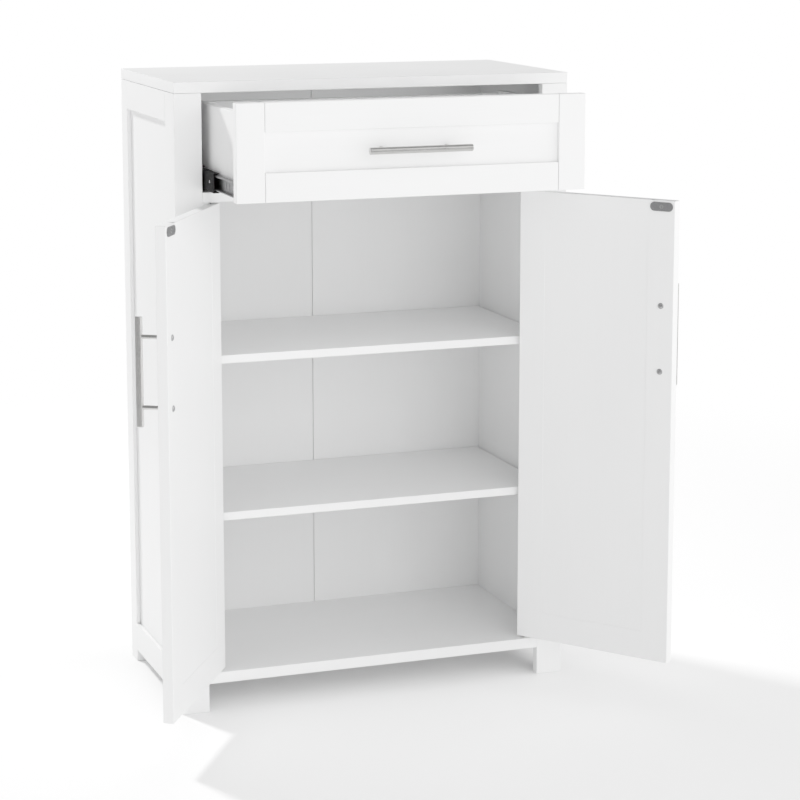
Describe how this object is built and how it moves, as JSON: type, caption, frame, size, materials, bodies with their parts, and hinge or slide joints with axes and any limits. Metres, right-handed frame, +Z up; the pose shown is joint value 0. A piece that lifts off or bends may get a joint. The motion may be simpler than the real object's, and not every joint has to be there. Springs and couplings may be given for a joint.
{
  "type": "apothecary cabinet",
  "caption": "White painted storage cabinet with frame-and-panel sides, two hinged doors over adjustable shelves and a drawer on telescopic runners above them.",
  "frame": {"origin": "on the floor, under the middle of the carcass, that is of the top and the four legs, doors and drawer left out", "axes": "+Z up; the front with the doors and the drawer faces -Y, so +Y points to the wall behind; +X points to the right as seen from the front"},
  "size_m": [0.8086, 0.5082, 0.914],
  "materials": {
    "white_paint": "satin white paint over wood",
    "white_board": "matt white coated board",
    "handle_nickel": "brushed nickel",
    "zinc_steel": "bright zinc plate",
    "strike_steel": "dark satin steel",
    "black_steel": "black coated steel",
    "white_plastic": "moulded white plastic",
    "dowel_beech": "raw beech"
  },
  "bodies": {
    "carcass": {"top_panel": "white_paint", "left_front_stile": "white_paint", "right_front_stile": "white_paint", "left_side_front_stile": "white_paint", "left_side_back_stile": "white_paint", "left_side_rails": "white_paint", "left_side_panel": "white_paint", "right_side_front_stile": "white_paint", "right_side_back_stile": "white_paint", "right_side_rails": "white_paint", "right_side_panel": "white_paint", "bottom_board": "white_paint", "drawer_divider": "white_paint", "back_panels": "white_board", "back_joint_strip": "white_board", "back_screws": "zinc_steel", "lower_shelf": "white_board", "upper_shelf": "white_board", "shelf_pegs": "zinc_steel", "carcass_dowels": "dowel_beech", "hinge_bushes": "white_plastic", "magnetic_catches": "white_plastic", "runner_packers": "white_board", "left_cabinet_runner": "black_steel", "right_cabinet_runner": "black_steel", "cabinet_runner_screws": "zinc_steel"},
    "left_door": {"left_door_hinge_stile": "white_paint", "left_door_handle_stile": "white_paint", "left_door_rails": "white_paint", "left_door_panel": "white_paint", "left_door_pivot_pins": "zinc_steel", "left_door_handle_bar": "handle_nickel", "left_door_handle_posts": "handle_nickel", "left_door_screws": "handle_nickel", "left_door_strike_plate": "strike_steel"},
    "right_door": {"right_door_hinge_stile": "white_paint", "right_door_handle_stile": "white_paint", "right_door_rails": "white_paint", "right_door_panel": "white_paint", "right_door_pivot_pins": "zinc_steel", "right_door_handle_bar": "handle_nickel", "right_door_handle_posts": "handle_nickel", "right_door_screws": "handle_nickel", "right_door_strike_plate": "strike_steel"},
    "drawer": {"left_drawer_runner": "zinc_steel", "right_drawer_runner": "zinc_steel", "drawer_front_stiles": "white_paint", "drawer_front_rails": "white_paint", "drawer_front_panel": "white_paint", "drawer_box_front": "white_board", "drawer_left_side": "white_board", "drawer_right_side": "white_board", "drawer_back": "white_board", "drawer_bottom": "white_board", "drawer_handle_bar": "handle_nickel", "drawer_handle_posts": "handle_nickel", "drawer_screws": "zinc_steel"},
    "left_middle_slide": {"left_middle_runner": "black_steel"},
    "right_middle_slide": {"right_middle_runner": "black_steel"}
  },
  "joints": [
    {"name": "left_door_hinge", "type": "hinge", "parent": "carcass", "child": "left_door", "pos_m": [-0.2435, -0.146, 0.4], "axis": [0, 0, 1], "range_deg": [-4.5, 122]},
    {"name": "right_door_hinge", "type": "hinge", "parent": "carcass", "child": "right_door", "pos_m": [0.2435, -0.146, 0.4], "axis": [0, 0, -1], "range_deg": [0, 126.5]},
    {"name": "drawer_slide", "type": "slide", "parent": "carcass", "child": "drawer", "axis": [0, 1, 0], "range_m": [-0.035, 0.16]},
    {"name": "left_middle_slide", "type": "slide", "parent": "carcass", "child": "left_middle_slide", "axis": [0, 1, 0], "range_m": [-0.0175, 0.08]},
    {"name": "right_middle_slide", "type": "slide", "parent": "carcass", "child": "right_middle_slide", "axis": [0, 1, 0], "range_m": [-0.0175, 0.08]}
  ],
  "couplings": [
    {"joint": "left_middle_slide", "follows": "drawer_slide", "ratio": 0.5},
    {"joint": "right_middle_slide", "follows": "drawer_slide", "ratio": 0.5}
  ]
}
